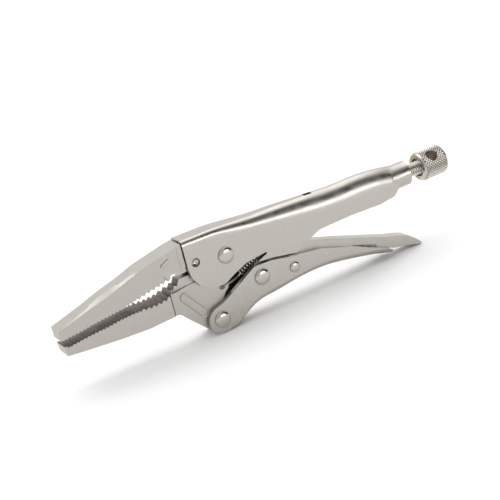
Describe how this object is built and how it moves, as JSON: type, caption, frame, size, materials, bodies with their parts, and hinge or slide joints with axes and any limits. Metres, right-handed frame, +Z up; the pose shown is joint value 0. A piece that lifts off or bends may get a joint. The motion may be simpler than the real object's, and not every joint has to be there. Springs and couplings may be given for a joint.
{
  "type": "locking pliers",
  "caption": "Long-nose locking pliers with toothed jaws, folded steel handles, an over-centre toggle link, a release lever, a tension spring and a knurled adjusting screw.",
  "frame": {"origin": "middle of the bounding box's bottom face, on the surface that the tool stands on", "axes": "+X from the jaw tips to the adjusting knob, +Y across the tool, away from the side that the spring's hook is on, +Z up with the fixed upper handle on top"},
  "size_m": [0.2202, 0.016, 0.0514],
  "materials": {
    "nickel_sheet": "satin nickel plate over folded sheet steel, fine even grain",
    "nickel_forging": "satin nickel plate over a forged and milled jaw",
    "polished_rivet": "bright nickel-plated domed rivet",
    "spring_wire": "drawn spring steel wire, bright",
    "bright_screw": "bright nickel-plated turned steel"
  },
  "bodies": {
    "fixed_side": {"upper_handle": "nickel_sheet", "upper_jaw": "nickel_forging", "fixed_jaw_pin": "polished_rivet", "pivot_rivet": "polished_rivet", "tension_spring": "spring_wire"},
    "moving_jaw": {"lower_jaw": "nickel_forging"},
    "moving_handle": {"lower_handle": "nickel_sheet", "jaw_rivet": "polished_rivet", "link_rivet": "polished_rivet", "lever_rivet": "polished_rivet"},
    "link": {"toggle_link": "nickel_forging"},
    "lever": {"release_lever": "nickel_sheet"},
    "screw": {"adjusting_screw": "bright_screw"},
    "knob": {"screw_knob": "bright_screw"}
  },
  "joints": [
    {"name": "jaw_hinge", "type": "hinge", "parent": "fixed_side", "child": "moving_jaw", "pos_m": [-0.02155, 0, 0.0368], "axis": [0, -1, 0], "range_deg": [0, 22], "deforming": ["tension_spring"]},
    {"name": "handle_hinge", "type": "hinge", "parent": "moving_jaw", "child": "moving_handle", "pos_m": [-0.03145, 0, 0.0069], "axis": [0, 1, 0], "range_deg": [0, 56.1]},
    {"name": "link_hinge", "type": "hinge", "parent": "moving_handle", "child": "link", "pos_m": [-0.00585, 0, 0.0192], "axis": [0, -1, 0], "range_deg": [0, 63.2]},
    {"name": "lever_hinge", "type": "hinge", "parent": "moving_handle", "child": "lever", "pos_m": [0.01225, 0, 0.0172], "axis": [0, 1, 0], "range_deg": [0, 3.5]},
    {"name": "screw_slide", "type": "slide", "parent": "fixed_side", "child": "screw", "axis": [1, 0, 0], "range_m": [0, 0.0055]},
    {"name": "knob_turn", "type": "hinge", "parent": "screw", "child": "knob", "pos_m": [0.09575, 0, 0.038], "axis": [1, 0, 0], "range_deg": [0, 1801]}
  ],
  "couplings": [
    {"joint": "handle_hinge", "follows": "jaw_hinge", "ratio": 2.5396},
    {"joint": "link_hinge", "follows": "jaw_hinge", "ratio": 2.8651},
    {"joint": "knob_turn", "follows": "screw_slide", "rad_per_m": 5712}
  ]
}
